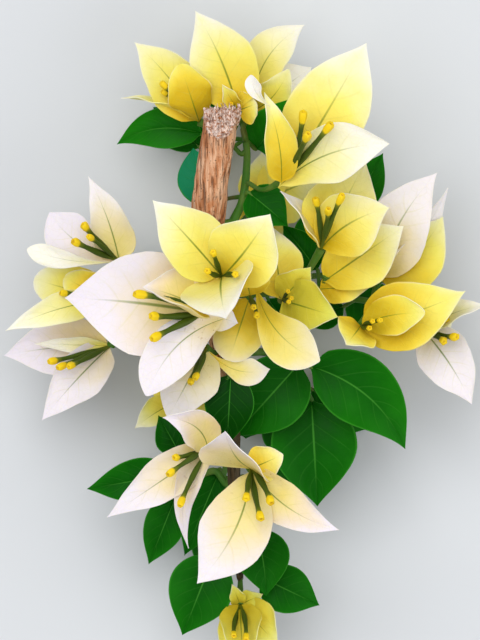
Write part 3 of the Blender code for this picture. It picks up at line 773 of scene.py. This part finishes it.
shootPlans = dict(
    shoot_upper=shoot(
        leaf((203, 133, 34), (116, 143, 26), 15, sweep=0.12, fade=0.8),
        leaf((220, 199, 42), (193, 147, 36), 19, sweep=-0.1, fade=1.5),
        leaf((256, 148, 32), (299, 96, 51), 18, fade=1.0),
        leaf((248, 192, 51), (288, 226, 53), 16, roll=-10, fade=0.3),
        foot=(209, 232, 57),
        route=((232, 222, 52, 1.7), (241, 205, 50, 1.6), (245, 185, 48, 1.5), (247, 152, 44, 1.3),
               (243, 128, 41, 1.1))),
    shoot_right=shoot(
        leaf((318, 270, 38), (283, 224, 36), 13, fade=0.3),
        leaf((352, 210, 32), (384, 152, 30), 14, fade=0.65),
        leaf((345, 306, 34), (300, 322, 28), 12, fade=0.2),
        foot=(211, 290, 53),
        route=((237, 293, 48, 1.7), (262, 293, 45, 1.6), (300, 290, 43, 1.5), (340, 297, 41, 1.3),
               (372, 302, 39, 1.2), (408, 316, 36, 1.0))),
    shoot_lower_right=shoot(
        leaf((301, 362, 42), (233, 438, 38), 27, fade=0.45),
        leaf((309, 366, 46), (406, 450, 40), 26, sweep=-0.12, fade=0.55),
        leaf((312, 400, 32), (318, 508, 28), 32, fade=0.4),
        foot=(222, 350, 50), route=((244, 352, 46, 1.5), (275, 353, 42, 1.4), (300, 362, 38, 1.2))),
    shoot_left=shoot(
        leaf((150, 300, 34), (104, 330, 22), 18, fade=0.2),
        foot=(211, 292, 53),
        route=((188, 292, 49, 1.6), (160, 294, 46, 1.5), (135, 298, 43, 1.3), (118, 302, 40, 1.1))),
    shoot_low_left=shoot(
        leaf((176, 474, 40), (86, 490, 34), 16),
        leaf((176, 496, 36), (148, 566, 30), 15, fade=0.5),
        leaf((220, 470, 41), (184, 557, 33), 17),
        leaf((180, 455, 38), (158, 416, 38), 12, fade=-0.1),
        foot=(233, 470, 47), route=((216, 472, 43, 1.3), (192, 476, 40, 1.1))),
    shoot_low_right=shoot(
        leaf((256, 532, 44), (266, 597, 47), 20, sweep=-0.04, fade=0.4),
        leaf((260, 578, 38), (320, 607, 34), 18, fade=0.5),
        foot=(236, 525, 44), route=((248, 535, 43, 1.1), (258, 562, 41, 0.9))),
    shoot_low_end=shoot(
        leaf((214, 556, 40), (182, 637, 36), 24, fade=0.5),
        foot=(238, 552, 41), route=((228, 556, 43, 1.0), (222, 562, 41, 0.9))),
    shoot_front=shoot(
        # this leaf's fade of -0.6 paints it dark: painted shade, for the deep shadow it lies in
        leaf((231, 373, 57), (227, 446, 54), 18, cup=6, fade=-0.6),
        foot=(226, 392, 48), route=((226, 384, 56, 1.0), (227, 378, 57, 0.9))),
    shoot_back_top=shoot(
        leaf((238, 120, 9), (222, 56, 0), 20),
        leaf((200, 146, 12), (152, 104, 0), 16),
        leaf((256, 130, 9), (335, 95, 0), 20),
        foot=(208, 225, 57),
        route=((202, 222, 40, 1.4), (196, 205, 26, 1.2), (205, 172, 15, 1.1), (232, 138, 10, 0.9))),
    shoot_back_left=shoot(
        leaf((146, 302, 14), (84, 298, 0), 18),
        leaf((172, 318, 18), (124, 350, 0), 16),
        leaf((176, 284, 20), (126, 262, 0), 14),
        foot=(214, 316, 51), route=((208, 292, 36, 1.4), (182, 300, 24, 1.2), (155, 302, 16, 1.0))),
    shoot_back_right=shoot(
        leaf((360, 270, 10), (428, 235, 0), 20),
        leaf((350, 292, 10), (402, 328, 0), 20),
        leaf((306, 262, 16), (332, 205, 0), 18),
        leaf((268, 298, 18), (300, 345, 0), 18),
        foot=(211, 280, 53),
        route=((224, 280, 36, 1.4), (262, 280, 24, 1.2), (310, 276, 17, 1.1), (350, 272, 12, 0.9))),
    shoot_back_middle=shoot(
        leaf((312, 390, 11), (372, 430, 0), 22),
        leaf((284, 396, 15), (300, 470, 0), 22),
        leaf((250, 390, 22), (246, 440, 4), 18),
        foot=(224, 370, 50), route=((236, 372, 34, 1.3), (266, 376, 22, 1.1), (300, 386, 13, 0.9))),
    shoot_back_low=shoot(
        leaf((214, 520, 10), (222, 580, 0), 20),
        leaf((202, 484, 16), (158, 508, 0), 16),
        leaf((246, 478, 18), (300, 505, 0), 18),
        foot=(232, 452, 47), route=((230, 456, 30, 1.3), (222, 480, 20, 1.1), (216, 508, 12, 0.9))))


def makeShoot(name, plan, paths, seed):
    form = shootForm
    route = plan["route"]
    start, leave = seat(paths["stem"], spot(*plan["foot"]), spot(*route[0][:3]))
    radius = route[0][3] * mm
    path = [(start, radius * joinForm["collar"]), (start + leave * joinForm["straight"] * mm, radius)]
    path += coarseRoute(route)
    paths[name] = path
    twigs = [limb("twig", smoothRoute(path, form["steps"]), twigSkin, form["sides"])]
    leaves = []
    for number, blade in enumerate(plan["leaves"]):
        shape = dict(blade)
        base, tip = spot(*shape.pop("base")), spot(*shape.pop("tip"))
        fade = shape.pop("fade", form["fade"])
        axis, _ = nearest(path[2:-1], base)
        sheet = copyOf(leafSheet, "leaf")
        bendBlade(sheet, leafForm, base, tip, seed=seed + number * form["seedStep"], **shape)
        thicken(sheet, leafForm, (leafTop, leafUnder))
        setAttribute(sheet.data, "fade", fade)
        leaves.append(sheet)
        sunk = base + (tip - base).normalized() * form["petioleSunk"] * mm
        droop = (axis - base).length * form["droop"] * Vector((0, 0, 1))
        points = [(axis, form["petioleFoot"] * mm), (axis.lerp(base, 0.5) + droop, form["petiole"] * mm),
                  (base, form["petiole"] * mm), (sunk, form["petioleTip"] * mm)]
        petiole = smoothRoute(points, form["steps"])
        twigs.append(limb("petiole", petiole, twigSkin, form["petioleSides"]))
    settle(joinPieces(twigs, name + "_twig"), name)
    settle(joinPieces(leaves, name + "_leaves"), name)


# the blooms, yellow and carried by the stem unless a plan says otherwise; a bract's look is (how far it
# has faded to cream, its blush, its brown specks, its green)
bloomForm = dict(stalk=0.9, stalkFoot=1.15, heart=1.7, sides=10, steps=4, bractStep=1.3, flowerStep=0.9)


def bloom(*bracts, **more):
    return dict(bracts=bracts, **more)


def bract(tip, width, look, cup=30, **more):
    return dict(tip=tip, width=width, look=look, cup=cup, **more)


bloomPlans = dict(
    bloom_top_left=bloom(
        bract((134, 41, 40), 20, (0.3, 0, 0.1, 0), sweep=0.04),
        bract((180, 64, 54), 18, (-0.5, 0, 0, 0), roll=180, cup=45, arch=-0.3, belly=0.55, point=0.55),
        bract((120, 97, 38), 20, (0.3, 0, 0, 0), roll=80, cup=20),
        heart=(199, 121, 44), carrier="shoot_upper", foot=(246, 150, 44), via=((222, 132, 42),),
        tubes=((161, 82, 54, 0.8), (162, 90, 50, 0.8))),
    bloom_top=bloom(
        bract((195, 10, 46), 25, (0.42, 0, 0.1, 0), cup=20, sweep=0.04),
        bract((222, 84, 52), 7, (0, 0, 0, 0), cup=60),
        bract((257, 103, 46), 13, (0, 0, 0, 0), point=0.7),
        heart=(238, 110, 46), carrier="shoot_upper", foot=(243, 128, 41), tubes=((231, 103, 50, 0.6),)),
    bloom_top_right=bloom(
        bract((305, 23, 34), 17, (0.5, 0.1, 0, 0), roll=-10, cup=35, sweep=-0.13, belly=0.52),
        bract((312, 65, 24), 20, (1.1, 0.2, 0, 0), cup=20),
        bract((289, 68, 46), 14, (0.2, 0, 0, 0.15), cup=20, sweep=0.1, point=0.8),
        heart=(252, 110, 36), carrier="shoot_upper", foot=(247, 142, 43), via=((243, 126, 43.5),),
        slot="cream_bracts", tubes=((268, 98, 30, 0.6),)),
    bloom_upper_right=bloom(
        bract((264, 94, 90), 14, (0.1, 0, 0, 0), base=(281, 184, 72.5), cup=50, sweep=0.05, twist=40,
              belly=0.42),
        bract((251, 77, 95), 6, (1.1, 0.3, 0, 0), base=(270, 108, 89), roll=-25, cup=35, sweep=-0.1,
              belly=0.72, point=0.8),
        bract((366, 44, 78), 30, (0.33, 0.05, 0.1, 0), base=(283, 183, 70), cup=25, sweep=0.01, belly=0.52),
        bract((389, 145, 84), 22, (0.68, 0.1, 0.2, 0), base=(278, 188, 69), cup=35, sweep=-0.1, belly=0.56),
        heart=(287, 178, 70), carrier="shoot_upper", foot=(246, 186, 48), via=((264, 190, 61),),
        slot="cream_bracts", tubes=((303, 113, 90), (331, 125, 90), (308, 135, 95))),
    bloom_mid_right=bloom(
        bract((389, 208, 72), 25, (0.2, 0.15, 0.1, 0), sweep=-0.08, belly=0.5),
        bract((280, 191, 64), 14, (0.5, 0.6, 0, 0), roll=68, cup=20),
        bract((366, 160, 56), 28, (0.3, 0, 0.1, 0)),
        heart=(321, 249, 58), carrier="shoot_right", foot=(300, 290, 43),
        tubes=((328, 209, 79, 0.9), (342, 195, 80, 0.9), (315, 198, 70, 0.9))),
    bloom_right=bloom(
        bract((404, 226, 56), 24, (0.3, 0, 0.1, 0), base=(323, 282, 48), belly=0.48),
        bract((372, 286, 50), 12, (0.05, 0, 0.1, 0), base=(319, 289, 46), cup=25),
        bract((376, 250, 30), 16, (0.3, 0, 0, 0)),
        heart=(327, 275, 49), carrier="shoot_right", foot=(326, 294, 42)),
    bloom_right_pale=bloom(
        bract((438, 172, 52), 26, (0.8, 0.75, 0.1, 0), sweep=-0.07, point=1.2),
        bract((449, 187, 42), 13, (1.0, 0.6, 0, 0), roll=50),
        bract((444, 216, 42), 25, (0.15, 0, 0.1, 0.2), cup=25, sweep=0.08),
        heart=(379, 279, 40), carrier="shoot_right", foot=(366, 300, 39), slot="cream_bracts"),
    bloom_right_open=bloom(
        bract((466, 291, 54), 26, (-0.03, 0, 0.1, 0.05), cup=25, sweep=0.035, belly=0.39, point=1.25),
        bract((425, 313, 64), 15, (-0.2, 0, 0.1, 0.15), cup=20, sweep=-0.06, belly=0.55, point=0.7),
        bract((346, 345, 64), 17, (0.05, 0, 0, 0), cup=15, belly=0.5),
        heart=(361, 326, 50.5), carrier="shoot_right", foot=(372, 302, 39),
        tubes=((373, 321, 66, 0.65), (381, 320, 66, 0.65), (370, 328, 66, 0.65))),
    bloom_far_right=bloom(
        bract((473, 405, 40), 20, (1.15, 0.8, 0, 0), sweep=-0.04),
        bract((487, 305, 46), 13, (0.6, 0.1, 0, 0), roll=-50),
        bract((446, 338, 6), 18, (0.5, 0.1, 0, 0), cup=20),
        heart=(424, 330, 36), carrier="shoot_right", foot=(408, 316, 36), slot="cream_bracts",
        tubes=((448, 318, 46), (458, 337, 50), (445, 342, 50))),
    bloom_front=bloom(
        bract((153, 201, 86), 24, (0.45, 0, 0.1, 0), roll=8),
        bract((270, 215, 100), 28, (0.28, 0, 0.1, 0), sweep=0.03, belly=0.47),
        bract((226, 319, 110), 30, (0.6, 0.2, 0, 0), roll=22, cup=26),
        heart=(222, 277, 84), foot=(211, 286, 53),
        tubes=((213, 252, 100, 0.85), (207, 271, 100, 0.85), (236, 275, 102, 0.85))),
    bloom_front_left=bloom(
        bract((65, 298, 68), 39, (0.8, 0.95, 0.1, 0), cup=20, sweep=0.02),
        bract((147, 396, 78), 19, (1.0, 0.85, 0.8, 0), base=(227, 318, 70), cup=25, sweep=0.13, belly=0.58,
              point=0.75),
        bract((238, 323, 66), 10, (0.7, 0.7, 1, 0), cup=20),
        bract((143, 287, 84), 26, (0.3, 0.9, 0.4, 0), roll=40, cup=75),
        heart=(206, 313, 72), foot=(213, 312, 52), slot="cream_bracts",
        tubes=((135, 294, 88, 1.1), (151, 316, 88, 1.1), (152, 339, 88, 1.1))),
    bloom_centre=bloom(
        bract((320, 361, 72), 18, (0.08, 0.6, 0.3, 0.1), base=(256, 286, 64), roll=10, cup=20, sweep=0.12,
              belly=0.68, point=0.9),
        bract((229, 361, 62), 20, (-0.15, 0.6, 0.2, 0), roll=180, cup=40, belly=0.55, point=0.5),
        bract((244, 262, 66), 16, (0.1, 0, 0, 0)),
        heart=(250, 296, 64), carrier="shoot_right", foot=(252, 293, 46),
        tubes=((254, 308, 76, 0.75), (257, 317, 76, 0.75))),
    bloom_centre_right=bloom(
        bract((338, 317, 62), 20, (-0.1, 0, 0, 0.7), cup=25),
        bract((311, 267, 58), 14, (-0.15, 0, 0, 0.5)),
        bract((272, 226, 44), 20, (0.3, 0, 0, 0)),
        heart=(282, 300, 52), carrier="shoot_right", foot=(285, 291, 44),
        tubes=((288, 291, 64, 0.6), (292, 298, 64, 0.6), (289, 302, 64, 0.6))),
    bloom_lower_left=bloom(
        bract((168, 418, 58), 22, (0.8, 0.6, 0.3, 0), point=0.8),
        bract((270, 369, 55), 10, (0.35, 0.5, 0.3, 0), sweep=0.17, belly=0.7),
        bract((160, 330, 50), 18, (0.2, 0, 0, 0), cup=20),
        heart=(206, 348, 58), foot=(221, 346, 50), tubes=((190, 384, 66, 0.85), (195, 379, 69, 0.85))),
    bloom_left=bloom(
        bract((88, 176, 58), 16, (0.7, 0.7, 0, 0), sweep=0.04, belly=0.3),
        bract((49, 212, 48), 18, (0.85, 0.95, 0, 0), cup=25, sweep=-0.1, belly=0.62, point=0.95),
        bract((27, 249, 62), 8.5, (1.0, 0.1, 0, 0), sweep=-0.06, belly=0.78, point=0.75),
        heart=(119, 261, 52), carrier="shoot_left", foot=(128, 299, 42), slot="cream_bracts",
        tubes=((83, 224, 64), (88, 236, 66, 0.8), (73, 241, 66))),
    bloom_left_mid=bloom(
        bract((5, 331, 54), 12, (0.6, 0, 0.1, 0), cup=25, sweep=0.05),
        bract((33, 279, 38), 19, (0.2, 0, 0.1, 0), point=0.5),
        bract((64, 277, 50), 15, (-0.2, 0, 0.1, 0), point=0.5),
        heart=(106, 300, 48), carrier="shoot_left", foot=(118, 302, 40), tubes=((60, 293, 56, 0.8),)),
    bloom_left_low=bloom(
        bract((2, 356, 30), 22, (0.8, 1, 0, 0), cup=20, sweep=0.03),
        bract((33, 344, 42), 6, (0.8, 0.1, 0, 0), cup=40, belly=0.45),
        bract((41, 421, 42), 18, (1.05, 0.9, 0, 0), sweep=0.02),
        heart=(110, 346, 36), carrier="shoot_left", foot=(122, 301, 41), slot="cream_bracts",
        tubes=((48, 362, 50, 0.9), (57, 368, 52, 0.9), (68, 367, 54, 0.9))),
    bloom_low_left=bloom(
        bract((107, 517, 70), 17, (0.75, 0.9, 0.2, 0), cup=32, belly=0.36),
        bract((163, 417, 84), 15, (0.6, 1, 0.3, 0), cup=40, sweep=0.16, belly=0.38),
        bract((189, 548, 72), 10, (0.75, 1, 0.6, 0), sweep=0.14, belly=0.27, point=1.2),
        heart=(208, 449, 68), foot=(233, 452, 47), via=((216, 458, 57),), slot="cream_bracts",
        tubes=((174, 457, 80, 0.9), (168, 474, 82, 0.9), (180, 505, 84, 0.9))),
    bloom_low=bloom(
        bract((225, 430, 100), 29, (0.4, 1, 1, 0), roll=-55),
        bract((339, 529, 78), 16, (0.48, 1, 0.5, 0), sweep=0.1),
        bract((283, 454, 77), 14, (0.1, 0.2, 0.1, 0), point=0.8),
        bract((197, 582, 84), 26, (0.6, 0.85, 0.2, 0), cup=20, sweep=-0.09, belly=0.52),
        heart=(251, 468, 74), foot=(234, 462, 47), slot="cream_bracts",
        tubes=((246, 498, 92), (261, 518, 92), (271, 502, 92))),
    bloom_tip=bloom(
        bract((278, 646, 44), 17, (0.1, 0, 0, 0.4), cup=35),
        bract((222, 662, 42), 11, (0.1, 0, 0, 0.4)),
        bract((243, 668, 60), 16, (0.1, 0, 0, 0.3), cup=40),
        bract((232, 585, 46), 6, (0.1, 0, 0, 0.6)),
        bract((263, 595, 42), 8, (0.1, 0, 0, 0.6)),
        heart=(240, 606, 38), foot=(240, 578, 37), tubes=((234, 636, 62, 0.8), (246, 640, 62, 0.8))),
    bloom_back_top=bloom(
        bract((262, 150, 14), 18, (0.3, 0, 0.1, 0), roll=180, cup=25),
        bract((330, 170, 8), 24, (0.35, 0, 0.1, 0), roll=180, cup=25),
        bract((262, 262, 6), 20, (0.25, 0, 0.1, 0), roll=180, cup=25),
        heart=(262, 200, 24), foot=(209, 240, 57), via=((236, 226, 38),), tubes=((266, 196, 8),)),
    bloom_back_left=bloom(
        bract((134, 429, 32), 11, (0.3, 0, 0, 0.15), cup=25, sweep=0.04),
        bract((168, 354, 16), 16, (0.3, 0, 0.1, 0), roll=180, cup=25),
        bract((212, 458, 8), 22, (0.35, 0, 0.1, 0), roll=180, cup=25),
        heart=(174, 404, 26), foot=(225, 385, 49), via=((200, 392, 34),), tubes=((176, 396, 10),)))


def makeBloom(name, plan, paths, seed):
    form = bloomForm
    heart = spot(*plan["heart"])
    vias = [spot(*via) for via in plan.get("via", ())]
    start, leave = seat(paths[plan.get("carrier", "stem")], spot(*plan["foot"]), vias[0] if vias else heart)
    places = [start, start + leave * joinForm["straight"] * mm, *vias, heart]
    radii = [form["stalkFoot"]] + [form["stalk"]] * (len(places) - 2) + [form["heart"]]
    stalk = smoothRoute([(place, radius * mm) for place, radius in zip(places, radii)], form["steps"])
    parts = [limb("stalk", stalk, twigSkin, form["sides"])]
    for number, (column, row, height, *size) in enumerate(plan.get("tubes", ())):
        full = size[0] if size else 1
        tip = spot(column, row, height)
        parts.append(placeFlower("flower", heart, tip, full, seed + number * form["flowerStep"]))
    bracts = []
    for number, blade in enumerate(plan["bracts"]):
        shape = dict(blade)
        look = shape.pop("look")
        base, tip = spot(*shape.pop("base", plan["heart"])), spot(*shape.pop("tip"))
        sheet = copyOf(bractSheet, "bract")
        bendBlade(sheet, bractForm, base, tip, seed=seed + number * form["bractStep"], **shape)
        thicken(sheet, bractForm, (paper,))
        for key, value in zip(("fade", "blush", "specks", "green"), look):
            setAttribute(sheet.data, key, value)
        bracts.append(sheet)
    settle(joinPieces(parts, name + "_flowers"), name)
    settle(joinPieces(bracts, name + "_bracts"), name)


seedSteps = dict(shoot=0.83, bloom=1.19)   # so that no two shoots or blooms wave alike
paths = {"stem": makeStem()}
print("stem made")
for number, (name, plan) in enumerate(shootPlans.items()):
    makeShoot(name, plan, paths, number * seedSteps["shoot"])
print("shoots made")
for number, (name, plan) in enumerate(bloomPlans.items()):
    makeBloom(name, plan, paths, number * seedSteps["bloom"])
print("blooms made")
for master in (bractSheet, leafSheet, flowerMaster):
    bpy.data.objects.remove(master)


# the floor and the soft light
lightPlan = dict(keyLight=((-0.3, 0.42, 1.4), 1.2, 14.5), fillLight=((0.8, -0.5, 1.0), 1.0, 5.0),
                 aim=(0, 0, 0.05), air=(0.88, 0.89, 0.92), airStrength=0.55)


def addLight(name, place, size, power):
    bpy.ops.object.light_add(type="AREA", location=place)
    lamp = bpy.context.object
    lamp.name = name
    lamp.data.size = size
    lamp.data.energy = power
    aim = Vector(lightPlan["aim"]) - Vector(place)
    lamp.rotation_euler = aim.to_track_quat("-Z", "Y").to_euler()


def addStudio():
    bpy.ops.mesh.primitive_plane_add(size=floorLook["size"])
    floor = bpy.context.object
    floor.name = "floor"
    floor.data.materials.append(floorMaterial())
    for name in ("keyLight", "fillLight"):
        addLight(name, *lightPlan[name])
    world = bpy.data.worlds.new("studioAir")
    world.use_nodes = True
    air = world.node_tree.nodes["Background"]
    air.inputs["Color"].default_value = (*lightPlan["air"], 1.0)
    air.inputs["Strength"].default_value = lightPlan["airStrength"]
    bpy.context.scene.world = world
    bpy.context.scene.view_settings.view_transform = "Standard"


addStudio()
print("studio made")
